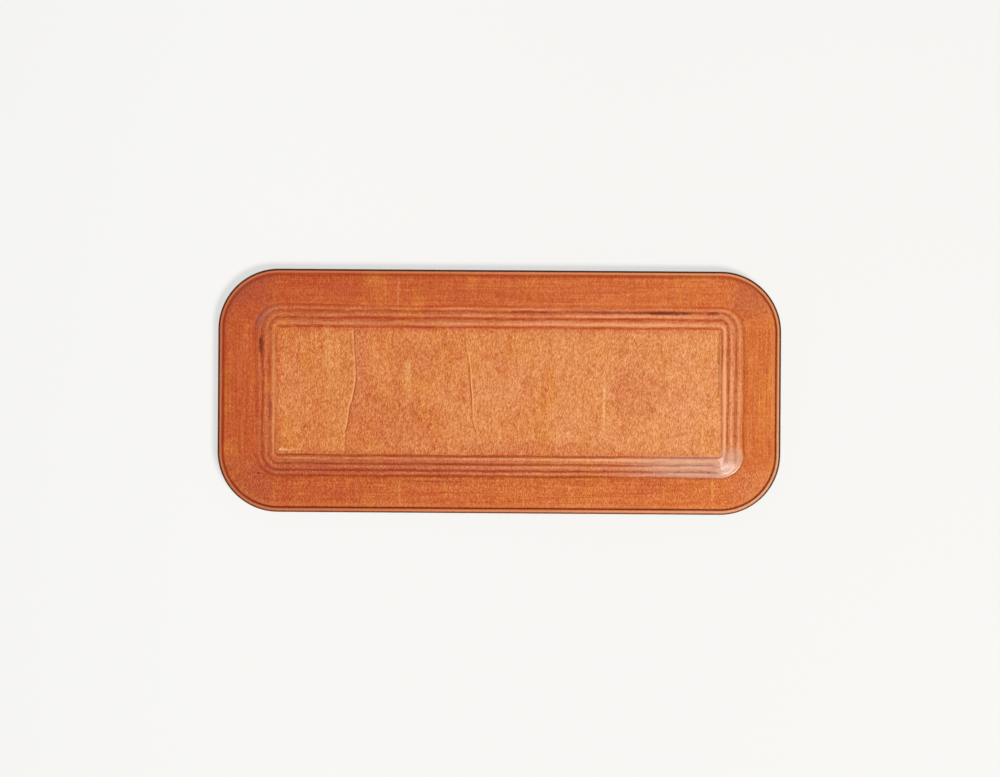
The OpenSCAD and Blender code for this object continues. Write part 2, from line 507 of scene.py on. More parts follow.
def wrinkle_panel(points, inward, upper):
    """Sinks the first wrinkle and raises the second and the blister.

    Returns how far each point lies from their lines."""
    on_panel = ramp(inward, 41.6, 43.0) * upper
    first_off = right_of(points, FIRST_WRINKLE)
    second_off = right_of(points, SECOND_WRINKLE)
    blister_off = np.hypot(points[:, 0] - BLISTER_CENTRE[0], (points[:, 1] - BLISTER_CENTRE[1]) * 0.8)
    blister_off = blister_off - BLISTER_RADIUS
    blister_part = ramp(points[:, 1], 36.5, 39.5)
    folds = [
        (first_off, -0.14, 0.65),
        (first_off + 2.6, 0.14, 2.2),
        (second_off, 0.15, 0.65),
        (second_off + 2.4, -0.12, 2.0),
        (blister_off, 0.30 * blister_part, 0.8),
    ]
    for off, height, reach in folds:
        points[:, 2] += on_panel * height * np.exp(-((off / reach) ** 2))
    away_from_blister = 9 * (1 - blister_part)
    return {"first_off": first_off, "second_off": second_off,
            "blister_off": blister_off + away_from_blister}


def groove_marks(points, inward, station, turn, rubbed):
    """The grooves painted darker, the noses painted pale (partly rubbed wear, partly painted highlight),
    and a fine dark line at each foot.
    """
    groove_dark = np.zeros(len(points))
    rub = np.zeros(len(points))
    foot = np.zeros(len(points))
    for i, groove in enumerate(GROOVES):
        uneven = 1.0 + 0.55 * ring_noise(face_outline, 34, i + 40)
        uneven += 0.25 * ring_noise(face_outline, 9, i + 50)
        groove_dark += bump_at(inward, groove, 0.95, 1.3) * by_side(GROOVE_DARKENING, turn, i) * uneven[station]
        down = by_side(RISER_PAINTED_LIGHT, turn) if i == REED_COUNT else 0.7
        nose = bump_at(inward, groove - 2.0, 1.5, down)
        rub += nose * by_side(NOSE_RUB_AND_HIGHLIGHT, turn, i) * uneven[::-1][station]
        foot += bump_at(inward, groove + 0.1, 0.45, 0.45) * by_side(FOOT_LINE, turn, i)
    x, y = points[:, 0], points[:, 1]
    # the pale noses, partly painted highlight, grow toward the right where the key lamp stands, and less
    # at the back right
    rub *= 0.85 + 0.35 * ramp(x, -100, 110)
    rub *= 1.0 - 0.35 * ramp(x, 100, 155) * ramp(y, 5, 40)
    kept = 1 - ramp(rubbed, 0.7, 0.95)
    return {"groove_dark": np.maximum(groove_dark * kept, 0), "rub": np.maximum(rub, 0), "foot": foot * kept}


def rim_marks(inward, turn):
    """The crease inside the bead with its painted shadow and painted shade, the pale bead, painted light
    on the shoulder, and the bled edge, partly painted shade.
    """
    shade_at = CREASE_IN + by_side(SHADE_WANDER, turn)
    return {
        "crease_line_and_shadow": bump_at(inward, CREASE_IN - 0.1, 0.5, 0.5) * by_side(CREASE_LINE_AND_SHADOW, turn),
        "crease_painted_shade": bump_at(inward, shade_at, 1.15, 1.15) * by_side(CREASE_PAINTED_SHADE, turn),
        "bead": bump_at(inward, BEAD_IN - 0.1, 0.85, 0.85),
        "painted_shoulder_light": bump_at(inward, 5.3, 0.8, 1.4) * by_side(SHOULDER_PAINTED_LIGHT, turn),
        "edge_bleed_and_shade": ramp(-inward, -1.75, -1.1) * by_side(EDGE_BLEED_AND_SHADE, turn),
    }


def make_face():
    """The face leather: the drawing's line, moved and marked for its material."""
    face, points, inward, station, upper = face_shell()
    ringed = station >= 0
    on_top = ringed & upper
    turn = np.where(ringed, face_outline.turn[station], 0.0)
    wander_reeds(points, inward, station, turn, on_top)
    rubbed = rubbed_down(points)
    melt_reeds(points, inward, rubbed, on_top)
    ripple_hide(points, inward, upper)
    add_attributes(face, **wrinkle_panel(points, inward, upper))

    marks = {**groove_marks(points, inward, station, turn, rubbed), **rim_marks(inward, turn)}
    add_attributes(face, **{name: values * ringed for name, values in marks.items()})
    from_ends = LENGTH / 2 - GROOVES[-1] - np.abs(points[:, 0])
    from_sides = WIDTH / 2 - GROOVES[-1] - np.abs(points[:, 1])
    add_attributes(face, panel_edge=np.minimum(from_ends, from_sides),
                   straight=1.0 - ramp(corner_share(turn), 0.1, 0.7),
                   polish=rubbed * hill(inward, REEDS_RISE, (40.5, 42.5)))
    finish_points(face, face_outline, points, inward, station)
    return face


# ---------------------------------------------------------------- material nodes

# Light to this root is even to the eye, and dye works in even steps to the eye
EYE_ROOT = 2.2
# How much of a step of dye the red, green and blue of dark and of pale tan leather take
DYE_STEP = (1.1, 1.6, 2.1)
PALE_DYE_STEP = (1.0, 1.5, 1.85)
# The least light that dye leaves, to the eye
DARKEST = (0.04, 0.04, 0.04)
# Half the height of a mark, enough to pass through the whole tray
MARK_DEPTH = 60.0


class Paint:
    """Builds one material's nodes, mostly by methods that return an output socket."""

    def __init__(self, name):
        self.material = bpy.data.materials.new(name)
        self.material.use_nodes = True
        self.tree = self.material.node_tree
        self.shader = self.tree.nodes["Principled BSDF"]

    def add(self, kind, settings=None, inputs=None):
        node = self.tree.nodes.new(kind)
        for key, value in (settings or {}).items():
            setattr(node, key, value)
        for key, value in (inputs or {}).items():
            self.feed(node.inputs[key], value)
        return node

    def feed(self, socket, value):
        if isinstance(value, bpy.types.NodeSocket):
            self.tree.links.new(value, socket)
        elif isinstance(value, tuple) and len(value) == 3 and socket.type == "RGBA":
            socket.default_value = (*value, 1.0)
        else:
            socket.default_value = value

    def set_shader(self, **values):
        for key, value in values.items():
            self.feed(self.shader.inputs[key.replace("_", " ").title().replace("Ior", "IOR")], value)

    def attribute(self, name, vector=False):
        node = self.add("ShaderNodeAttribute", {"attribute_name": name})
        return node.outputs["Vector" if vector else "Fac"]

    def object_place(self):
        """Where a point lies in its own object, in millimetres."""
        place = self.add("ShaderNodeTexCoord").outputs["Object"]
        return self.stretched(place, (1 / MM, 1 / MM, 1 / MM))

    def split(self, vector):
        return self.add("ShaderNodeSeparateXYZ", None, {0: vector}).outputs

    def vector_maths(self, operation, first, second):
        return self.add("ShaderNodeVectorMath", {"operation": operation}, {0: first, 1: second}).outputs[0]

    def stretched(self, vector, factors):
        return self.vector_maths("MULTIPLY", vector, factors)

    def turned(self, vector, degrees, factors):
        return self.add("ShaderNodeMapping", None,
                        {"Vector": vector, "Rotation": (0, 0, math.radians(degrees)),
                         "Scale": factors}).outputs[0]

    def noise(self, vector, scale=1.0, detail=2.0, roughness=0.5, distortion=0.0):
        return self.add("ShaderNodeTexNoise", None,
                        {"Vector": vector, "Scale": scale, "Detail": detail, "Roughness": roughness,
                         "Distortion": distortion}).outputs["Fac"]

    def cells(self, vector, scale):
        """Distance from the middle of the nearest cell."""
        node = self.add("ShaderNodeTexVoronoi", None, {"Vector": vector, "Scale": scale})
        return node.outputs["Distance"]

    def maths(self, operation, first, second=0.0):
        return self.add("ShaderNodeMath", {"operation": operation}, {0: first, 1: second}).outputs[0]

    def times(self, first, *others):
        for other in others:
            first = self.maths("MULTIPLY", first, other)
        return first

    def most(self, first, *others):
        for other in others:
            first = self.maths("MAXIMUM", first, other)
        return first

    def inverse(self, share):
        return self.maths("SUBTRACT", 1.0, share)

    def between(self, value, low, high, out_low=0.0, out_high=1.0):
        """Runs smoothly from out_low to out_high while the value runs from low to high."""
        return self.add("ShaderNodeMapRange", {"interpolation_type": "SMOOTHSTEP"},
                        {"Value": value, "From Min": low, "From Max": high,
                         "To Min": out_low, "To Max": out_high}).outputs["Result"]

    def blend(self, share, first, second):
        return self.add("ShaderNodeMix", {"data_type": "FLOAT"},
                        {0: share, 2: first, 3: second}).outputs[0]

    def near(self, value, centre, reach):
        """1 where value is at centre, falling to 0 at reach from it."""
        away = self.maths("ABSOLUTE", self.maths("SUBTRACT", value, centre))
        return self.between(away, 0.25 * reach, reach, 1.0, 0.0)

    def spot(self, vector, centre, size, ragged):
        """1 inside an ellipse seen from above, falling to 0 at its edge; ragged frays the edge."""
        away = self.vector_maths("SUBTRACT", vector, (*centre, 0.0))
        away = self.stretched(away, (1 / size[0], 1 / size[1], 1 / MARK_DEPTH))
        length = self.add("ShaderNodeVectorMath", {"operation": "LENGTH"}, {0: away}).outputs["Value"]
        return self.between(self.maths("ADD", length, ragged), 0.45, 1.1, 1.0, 0.0)

    def mix(self, share, first, second, blend="MIX"):
        node = self.add("ShaderNodeMix", {"data_type": "RGBA", "blend_type": blend})
        self.feed(node.inputs[0], share)
        self.feed(node.inputs[6], first)
        self.feed(node.inputs[7], second)
        return node.outputs[2]

    def over(self, below, colour, *shares):
        """A colour laid over another, as strongly as the product of the shares."""
        return self.mix(self.times(*shares), below, colour)

    def shade(self, colour, value, low, high, dark, light):
        """The colour made darker or lighter by a pattern that runs from low to high."""
        return self.mix(1.0, colour, self.between(value, low, high, dark, light), "MULTIPLY")

    def to_power(self, colour, power):
        return self.add("ShaderNodeGamma", None, {"Color": colour, "Gamma": power}).outputs[0]

    def dyed(self, colour, value, low, high, depth, step=DYE_STEP):
        """The colour with more dye where the pattern is low and less where it is high."""
        share = self.between(value, low, high, -depth, depth)
        tint = self.add("ShaderNodeVectorMath", {"operation": "SCALE"}, {0: step, 3: share}).outputs[0]
        seen = self.vector_maths("ADD", self.to_power(colour, 1 / EYE_ROOT), tint)
        return self.to_power(self.vector_maths("MAXIMUM", seen, DARKEST), EYE_ROOT)

    def bump(self, height, distance, strength=1.0, before=None):
        node = self.add("ShaderNodeBump", None,
                        {"Height": height, "Distance": distance * MM, "Strength": strength})
        if before is not None:
            self.feed(node.inputs["Normal"], before)
        return node.outputs["Normal"]


# Marks on the hide, and one painted highlight, in millimetres: centre, half sizes, colour and strength
PALE_YELLOW = (0.80, 0.335, 0.085)
PALE_PINK = (0.80, 0.30, 0.130)
DARK_DYE = (0.13, 0.010, 0.008)
ORANGE_DYE = (0.74, 0.230, 0.024)
RED_DYE = (0.52, 0.068, 0.012)
# painted shade with a grey sheen, for the back left corner of the reeds
PLUM_SHADE_AND_SHEEN = (0.39, 0.115, 0.080)
MARKS = [
    ((-123.0, 42.0), (3.6, 5.5), PALE_YELLOW, 0.45),
    ((-119.0, 39.0), (1.6, 4.0), PALE_YELLOW, 0.4),
    ((-122.0, 30.0), (4.5, 15.0), PALE_YELLOW, 0.45),
    ((-65.5, 13.0), (2.3, 10.0), (0.84, 0.390, 0.100), 0.80),
    ((-64.5, 1.0), (2.2, 13.0), PALE_YELLOW, 0.45),
    ((74.6, -11.0), (0.9, 26.0), (0.88, 0.420, 0.200), 0.9),
    ((81.0, 0.0), (1.6, 9.0), PALE_PINK, 0.45),
    ((-81.4, 71.0), (0.8, 12.0), PALE_PINK, 0.25),
    ((-72.2, 71.0), (0.9, 12.0), PALE_PINK, 0.30),
    ((-66.0, 71.0), (0.7, 12.0), PALE_PINK, 0.25),
    ((-70.5, -71.0), (1.0, 11.0), PALE_PINK, 0.4),
    ((152.0, -70.0), (1.5, 12.5), (0.82, 0.300, 0.050), 0.60),
    ((-72.0, -22.0), (34.0, 24.0), RED_DYE, 0.26),
    ((-58.0, 22.0), (24.0, 18.0), RED_DYE, 0.20),
    ((97.0, 2.0), (18.0, 28.0), RED_DYE, 0.24),
    ((20.0, -39.0), (70.0, 5.0), RED_DYE, 0.30),
    ((-150.0, -2.0), (15.0, 34.0), PALE_PINK, 0.18),
    ((8.0, -6.0), (26.0, 26.0), PALE_PINK, 0.18),
    ((60.0, -24.0), (20.0, 14.0), PALE_PINK, 0.20),
    ((132.0, -8.0), (16.0, 28.0), PALE_PINK, 0.20),
    ((-118.0, 6.0), (8.0, 34.0), PALE_YELLOW, 0.30),
    ((-108.0, 72.0), (26.0, 8.0), RED_DYE, 0.50),
    ((-170.0, 66.0), (26.0, 16.0), RED_DYE, 0.35),
    ((-84.0, 72.0), (13.0, 18.0), ORANGE_DYE, 0.14),
    # painted highlight on the inner nose at the front left corner of the reeds
    ((-152.0, -42.3), (8.0, 0.9), (0.90, 0.480, 0.220), 0.9),
    ((-60.0, -54.5), (150.0, 7.5), (0.47, 0.066, 0.020), 0.30),
    ((-110.0, -55.5), (70.0, 6.0), (0.47, 0.060, 0.020), 0.25),
    ((-20.0, 70.0), (26.0, 6.0), RED_DYE, 0.25),
    ((70.0, 72.0), (40.0, 5.0), RED_DYE, 0.20),
    ((-120.0, -72.0), (30.0, 5.0), RED_DYE, 0.30),
    ((-72.0, -70.0), (9.0, 14.0), ORANGE_DYE, 0.22),
    ((110.0, -68.0), (30.0, 5.0), RED_DYE, 0.25),
    ((-183.0, 71.0), (24.0, 17.0), (0.36, 0.050, 0.022), 0.42),
    ((182.0, 69.0), (22.0, 17.0), (0.42, 0.070, 0.028), 0.40),
    ((-186.0, -70.0), (36.0, 27.0), (0.40, 0.062, 0.018), 0.42),
    ((182.0, -68.0), (20.0, 17.0), (0.70, 0.240, 0.110), 0.25),
]
# Streaks of dark dye left in the grooves: centre, half sizes and strength
STREAKS = [
    ((-42.0, -64.0), (32.0, 0.65), 0.5),
    ((-171.0, -59.0), (5.5, 0.9), 0.6),
    ((-169.8, 32.4), (1.7, 10.0), 1.0),
    ((-162.6, -13.0), (1.1, 8.0), 0.45),
    ((116.0, 56.7), (26.0, 1.6), 0.90),
    ((152.0, 56.7), (6.5, 1.5), 0.80),
    ((76.0, 56.9), (26.0, 1.2), 0.50),
    ((22.0, 57.0), (22.0, 1.2), 0.35),
]
# Each wrinkle's attribute, the side that its dark line takes, and its strength at the back edge. The dark
# line is painted shade and the pale line beside it a painted highlight
WRINKLE_LINES = [("first_off", -1, 0.85), ("second_off", 1, 0.35), ("blister_off", 1, 0.6)]


class FaceLeather(Paint):
    """Hand-dyed vegetable-tanned hide: redder on the border, yellower in the well.

    Most of its methods take the hide's colour so far and return it with one more thing on it."""

    def __init__(self):
        super().__init__("face_leather")
        self.place = self.attribute("place", vector=True)
        self.lay = self.attribute("lay", vector=True)
        self.inward = self.attribute("inward")
        self.x, self.y, _ = self.split(self.place)

        # shares: the panel in the well, the reeds, their polished part (also painted with a sheen), and
        # toward the right
        self.well = self.between(self.inward, 40.6, 42.0)
        self.band = self.times(self.between(self.inward, 25.5, 27.5),
                               self.between(self.inward, 40.6, 41.8, 1.0, 0.0))
        self.polish = self.between(self.attribute("polish"), 0.10, 0.85)
        self.east = self.between(self.maths("SUBTRACT", self.x, self.times(self.y, 0.5)), -210, 230)

        # patterns that more than one method uses
        self.strands = self.noise(self.stretched(self.lay, (0.05, 0.05, 1.0)), 1.35, 4.0, 0.65)
        self.grain = self.noise(self.stretched(self.place, (1.0, 0.33, 1.0)), 1.55, 3.0, 0.6)
        warped = self.vector_maths("ADD", self.stretched(self.place, (1.0, 0.4, 1.0)),
                                   self.noise(self.place, 0.4, 2.0))
        self.pebble = self.cells(warped, 1.45)
        small = self.between(self.noise(self.place, 0.6, 3.0, 0.7), 0.3, 0.7, -0.28, 0.28)
        broad = self.between(self.noise(self.place, 0.09, 2.0), 0.3, 0.7, -0.22, 0.22)
        self.fray = self.maths("ADD", small, broad)
        ragged = self.noise(self.stretched(self.lay, (0.5, 0.5, 1.0)), 0.55, 3.0, 0.7)
        self.groove_dark = self.times(self.attribute("groove_dark"), self.between(ragged, 0.3, 0.7, 0.45, 1.35))

    def broad_colour(self):
        """The broad colours of the border, the reeds and the panel, paler toward the right."""
        border = self.mix(self.east, (0.546, 0.090, 0.006), (0.666, 0.156, 0.019))
        panel = self.mix(self.east, (0.702, 0.210, 0.043), (0.772, 0.290, 0.087))
        reeds = self.mix(self.east, (0.526, 0.112, 0.018), (0.705, 0.205, 0.058))
        hide = self.mix(self.band, self.mix(self.well, border, panel), reeds)
        patches = self.noise(self.stretched(self.place, (1.0, 0.6, 1.0)), 0.045, 4.0, 0.6)
        hide = self.over(hide, (0.72, 0.235, 0.019), self.between(patches, 0.50, 0.66, 0.0, 0.45))
        blush = self.noise(self.stretched(self.place, (1.0, 0.55, 1.3)), 0.10, 6.0, 0.72)
        hide = self.over(hide, (0.58, 0.092, 0.015), self.between(blush, 0.48, 0.68, 0.0, 0.50))

        # redder to the right of the first wrinkle, and yellower to its left
        first_off = self.attribute("first_off")
        right = self.between(first_off, -0.3, 0.3)
        right_fade = self.between(first_off, 0.0, 16.0, 1.0, 0.0)
        left_fade = self.between(first_off, -14.0, 0.0)
        hide = self.over(hide, (0.62, 0.150, 0.050), right, right_fade, self.well, 0.5)
        return self.over(hide, (0.71, 0.255, 0.058), self.inverse(right), left_fade, self.well, 0.5)

    def streaked(self, hide):
        """Streaks of dye: with the backbone on the panel, along and across the rim elsewhere; and painted
        shade along the foot of the well's wall.
        """
        backbone = self.noise(self.stretched(self.place, (1.0, 0.10, 1.0)), 0.45, 3.0, 0.6)
        cloud = self.noise(self.stretched(self.place, (1.0, 0.6, 1.0)), 0.24, 4.0, 0.7)
        panel = self.dyed(hide, backbone, 0.3, 0.7, 0.009, PALE_DYE_STEP)
        panel = self.dyed(panel, cloud, 0.35, 0.65, 0.0145, PALE_DYE_STEP)
        # painted shade darkening the panel along the foot of the well's wall, less on the right
        edge = self.between(self.attribute("panel_edge"), 0.8, 6.0, 0.38, 0.0)
        right_fade = self.between(self.x, 120.0, 155.0, 1.0, 0.2)
        panel = self.over(panel, (0.56, 0.085, 0.018), edge, right_fade)

        along = self.noise(self.stretched(self.lay, (0.03, 0.03, 1.0)), 0.75, 3.0, 0.6)
        across = self.noise(self.stretched(self.lay, (1.0, 1.0, 0.06)), 0.55, 3.0, 0.6)
        mottle = self.noise(self.stretched(self.place, (1.0, 0.8, 1.0)), 0.42, 5.0, 0.75)
        side = self.dyed(hide, along, 0.3, 0.7, 0.029)
        side = self.dyed(side, across, 0.3, 0.7, 0.011)
        side = self.dyed(side, mottle, 0.3, 0.7, 0.012)
        corner = self.dyed(hide, mottle, 0.34, 0.66, 0.020)
        corner = self.dyed(corner, across, 0.3, 0.7, 0.009)
        border = self.mix(self.attribute("straight"), corner, side)
        border = self.mix(self.band, border, self.dyed(border, self.strands, 0.32, 0.68, 0.032))
        return self.mix(self.well, border, panel)

    def marked(self, hide):
        for centre, size, colour, strength in MARKS:
            hide = self.over(hide, colour, self.spot(self.place, centre, size, self.fray), strength)
        return hide

    def grained(self, hide):
        """Grain, strong on the panel and weaker on the border's back, and scattered pits."""
        strong = self.dyed(hide, self.grain, 0.38, 0.62, 0.055, PALE_DYE_STEP)
        strong = self.dyed(strong, self.pebble, 0.85, 0.15, 0.042, PALE_DYE_STEP)
        weak = self.dyed(hide, self.grain, 0.36, 0.64, 0.053)
        weak = self.dyed(weak, self.pebble, 0.85, 0.15, 0.031)
        weak = self.mix(self.between(self.y, -50.0, -62.0, 0.75, 1.25), hide, weak)
        hide = self.mix(self.well, weak, strong)
        pits = self.between(self.cells(self.place, 0.42), 0.03, 0.13, 1.0, 0.0)
        some = self.between(self.noise(self.place, 0.12, 2.0), 0.45, 0.6)
        return self.over(hide, (0.40, 0.095, 0.030), pits, some, 0.50)

    def wrinkled(self, hide):
        """A painted shade line and a painted highlight line along each wrinkle. Returns the shade lines
        too.
        """
        lines = 0.0
        patchy = self.between(self.noise(self.place, 0.11, 2.0), 0.35, 0.6, 0.45, 1.0)
        patchy = self.times(patchy, self.between(self.y, -40.0, -20.0, 0.15, 1.0))
        for name, side, back_strength in WRINKLE_LINES:
            off = self.attribute(name)
            # dark is the painted shade side of a wrinkle, and the pale line its painted highlight side
            dark = self.times(self.near(off, -0.50 * side, 0.68), self.well)
            painted_highlight_line = self.times(self.near(off, 0.55 * side, 0.78), self.well)
            fade = self.times(patchy, self.between(self.y, 15.0, 34.0, 1.0, back_strength))
            hide = self.over(hide, (0.92, 0.46, 0.190), painted_highlight_line, fade, 0.70)
            hide = self.over(hide, (0.42, 0.062, 0.010), dark, fade, 0.80)
            lines = self.most(lines, dark)
        return hide, lines

    def worn(self, hide):
        """The polished reeds, paled partly by wear and partly as a painted sheen, the grooves painted
        darker, and the noses painted pale, partly rubbed wear and partly painted highlight.
        """
        # pale over the polished reeds: partly rubbed wear, partly a painted sheen; the second, streaky
        # layer is painted sheen
        hide = self.over(hide, (0.71, 0.375, 0.255), self.polish, 0.56)
        painted_sheen_streaks = self.between(self.strands, 0.45, 0.6)
        hide = self.over(hide, (0.84, 0.510, 0.370), self.polish, painted_sheen_streaks, 0.5)
        hide = self.over(hide, (0.42, 0.044, 0.010), self.between(self.groove_dark, 0.05, 1.1, 0.0, 0.88))
        broken = self.between(self.strands, 0.35, 0.62, 0.35, 1.1)
        hide = self.over(hide, (0.38, 0.020, 0.004), self.attribute("foot"), 0.8, broken)
        # pale noses and risers: partly rubbed wear, partly painted highlight and painted light over shade
        rub = self.times(self.attribute("rub"), self.between(self.grain, 0.3, 0.7, 0.6, 1.3))
        rub_and_highlight_colour = self.mix(self.east, (0.78, 0.270, 0.085), (0.92, 0.430, 0.190))
        return self.over(hide, rub_and_highlight_colour, self.between(rub, 0.1, 1.1, 0.0, 0.85))

    def rimmed(self, hide):
        """The bead, paler with a painted highlight toward the front right, the crease with its painted
        shadow and shade, painted light past the crease, and black from the edge, partly painted shade.
        """
        bead_colour = self.mix(self.east, (0.66, 0.185, 0.065), (0.86, 0.325, 0.120))
        # painted highlight: the bead paler toward the front right corner
        painted_corner_highlight = self.between(self.maths("SUBTRACT", self.x, self.y), 120.0, 260.0, 0.0, 0.65)
        bead_colour = self.mix(painted_corner_highlight, bead_colour, (0.90, 0.480, 0.260))
        # layers over the rim: bead, painted shade in the crease, painted light on the shoulder, crease
        # line partly painted shadow, edge black partly painted shade
        layers = [
            ("bead", bead_colour, 0.90),
            ("crease_painted_shade", (0.28, 0.020, 0.005), 0.90),
            ("painted_shoulder_light", (0.84, 0.280, 0.060), 0.50),
            ("crease_line_and_shadow", (0.170, 0.004, 0.0005), 0.97),
            ("edge_bleed_and_shade", (0.040, 0.010, 0.004), 1.0),
        ]
        for name, colour, strength in layers:
            hide = self.over(hide, colour, self.attribute(name), strength)
        return hide

    def torn(self, hide, lines):
        """Dark dye left in torn streaks, which join the dark lines."""
        tears = self.between(self.strands, 0.40, 0.56, 0.60, 1.0)
        slight_fray = self.times(self.fray, 0.6)
        for centre, size, strength in STREAKS:
            streak = self.times(self.spot(self.place, centre, size, slight_fray), tears, strength)
            hide = self.over(hide, DARK_DYE, streak)
            lines = self.most(lines, streak)
        return hide, lines

    def painted_corner_shade(self, hide):
        """Painted shade with a grey sheen on the back left corner of the reeds, edged by a dark line in
        the outer groove, and painted shade on the rim beyond it.
        """
        patch = self.spot(self.place, (-167.5, 55.0), (14.0, 14.0), self.fray)
        cloudy = self.between(self.noise(self.place, 0.30, 3.0, 0.7), 0.42, 0.58, 0.15, 1.0)
        hide = self.over(hide, PLUM_SHADE_AND_SHEEN, patch, self.near(self.inward, 28.0, 5.5), cloudy, 0.62)
        hide = self.over(hide, (0.20, 0.040, 0.035), patch, self.near(self.inward, 25.4, 0.9), 0.5)
        rim = self.spot(self.place, (-186.0, 72.0), (30.0, 26.0), self.fray)
        return self.over(hide, (0.30, 0.060, 0.030), rim, self.near(self.inward, 5.6, 3.2), 0.36)

    def set_surface(self, lines):
        """Roughness, the clear coat on the polished reeds, and relief too fine for the mesh."""
        rough = self.between(self.grain, 0.3, 0.7, 0.62, 0.76)
        smooth = self.between(self.grain, 0.3, 0.7, 0.18, 0.28)
        rough = self.blend(self.times(self.band, 0.2), rough, smooth)
        rough = self.blend(self.polish, rough, smooth)
        crust = self.most(self.attribute("crease_line_and_shadow"), self.attribute("crease_painted_shade"),
                          self.times(self.between(self.groove_dark, 0.05, 1.0), 0.8),
                          self.times(self.attribute("foot"), 0.8), lines)
        coat = self.times(self.polish, self.between(self.strands, 0.35, 0.6, 0.42, 0.92))
        self.set_shader(roughness=self.blend(crust, rough, 1.0), ior=1.42)
        self.set_shader(coat_weight=coat, coat_roughness=0.26, coat_ior=1.7)

        fine = self.noise(self.place, 2.1, 3.0, 0.7)
        ripple = self.noise(self.turned(self.place, 38, (1.0, 0.16, 1.0)), 0.55, 2.0, 0.5)
        unpolished = self.inverse(self.times(self.polish, 0.93))
        relief = [
            ((self.pebble, unpolished), 0.08, 0.8),
            ((self.grain, unpolished), 0.14, 0.8),
            ((fine, unpolished), 0.06, 0.5),
            ((ripple, self.band), 0.10, 0.6),
            ((self.strands, self.band, unpolished), 0.22, 0.6),
        ]
        normal = None
        for heights, distance, strength in relief:
            normal = self.bump(self.times(*heights), distance, strength, normal)
        self.set_shader(normal=normal)


def face_leather_paint():
    paint = FaceLeather()
    hide = paint.grained(paint.marked(paint.streaked(paint.broad_colour())))
    hide, lines = paint.wrinkled(hide)
    hide = paint.rimmed(paint.worn(hide))
    hide, lines = paint.torn(hide, lines)
    paint.set_shader(base_color=paint.painted_corner_shade(hide))
    paint.set_surface(lines)
    return paint.material


# ---------------------------------------------------------------- the other pieces

def even_outline(length, width, radius, step, corner_steps):
    """An outline whose grid lines lie about a step apart."""
    lines = [np.linspace(-1, 1, max(2, round((size - 2 * radius) / step) + 1)) for size in (length, width)]
    return Outline(length, width, radius, *lines, corner_steps)


# How far the line between two sheets shows up and down the edge
SEAM_REACH = 0.22


def make_edge():
    """The dyed edge, burnished over all the sheets and a little uneven by hand."""
    outline = even_outline(LENGTH, WIDTH, CORNER_RADIUS, 4, 28)
    low = OUTLINE_LOW[2]
    high = OUTLINE_HIGH[2]
    sides = [(0.03 + 0.05 * abs(share - 0.5), low + 0.35 + share * (high - low - 0.7))
             for share in np.linspace(0, 1, 9)]
    section = [(EDGE_THICKNESS, low + 0.02), (0.42, low), (0.14, low + 0.12)] + sides
    section += [(0.14, high - 0.12), (0.40, high), (EDGE_THICKNESS, high - 0.02)]
    section += [(EDGE_THICKNESS, (low + high) / 2)]
    edge, points, inward, station = swept_ring("edge_finish", outline, section)
    ripple = 0.035 * (1 + ring_noise(outline, 9, 61)) + 0.02 * (1 + ring_noise(outline, 3, 62))
    outer = ramp(-inward, -0.5, 0.0)
    points[:, :2] -= outline.out[station] * (ripple[station] * outer)[:, None]
    heights = points[:, 2]
    seam = bump_at(heights, low + FACE_THICKNESS, SEAM_REACH, SEAM_REACH)
    seam += bump_at(heights, high - FACE_THICKNESS, SEAM_REACH, SEAM_REACH)
    points[:, :2] -= outline.out[station] * (0.07 * seam * outer)[:, None]
    points[:, 2] += 0.04 * ring_noise(outline, 14, 63)[station] * (points[:, 2] > (low + high) / 2)
    finish_points(edge, outline, points, inward, station)
    return edge


def edge_paint():
    """Near-black dye with brown specks, worn browner on top."""
    paint = Paint("edge_dye")
    place = paint.attribute("place", vector=True)
    lay = paint.attribute("lay", vector=True)
    height = paint.split(place)[2]
    layers = paint.noise(paint.stretched(lay, (0.05, 0.05, 0.4)), 1.0, 3.0, 0.6)
    layered = paint.add("ShaderNodeCombineXYZ", None, {0: layers, 2: height}).outputs[0]
    strata = paint.noise(layered, 1.8, 3.0)
    specks = paint.noise(place, 1.3, 4.0, 0.75)
    worn = paint.noise(paint.stretched(lay, (0.14, 0.14, 1.0)), 1.0, 4.0, 0.65)
    dye = paint.mix(paint.between(strata, 0.35, 0.65), (0.016, 0.0060, 0.0028), (0.040, 0.0130, 0.0055))
    dye = paint.over(dye, (0.085, 0.026, 0.010), paint.between(specks, 0.58, 0.75, 0.0, 0.6))
    dye = paint.over(dye, (0.110, 0.036, 0.013), paint.between(worn, 0.62, 0.78, 0.0, 0.55))
    top = paint.between(height, OUTLINE_HIGH[2] - 1.0, OUTLINE_HIGH[2] - 0.2)
    brown = paint.mix(paint.between(worn, 0.35, 0.65), (0.058, 0.014, 0.005), (0.130, 0.042, 0.016))
    dye = paint.over(dye, brown, top, 0.9)
    rough = paint.between(specks, 0.3, 0.7, 0.52, 0.70)
    normal = paint.bump(specks, 0.08, 0.6, paint.bump(strata, 0.12, 0.6))
    paint.set_shader(base_color=dye, roughness=rough, ior=1.35, normal=normal)
    return paint.material


# How far in the lining's rings reach, before its flat middle
LINING_RINGS_END = 42.8
# Half waves of the pleats in each corner
PLEATS = 22


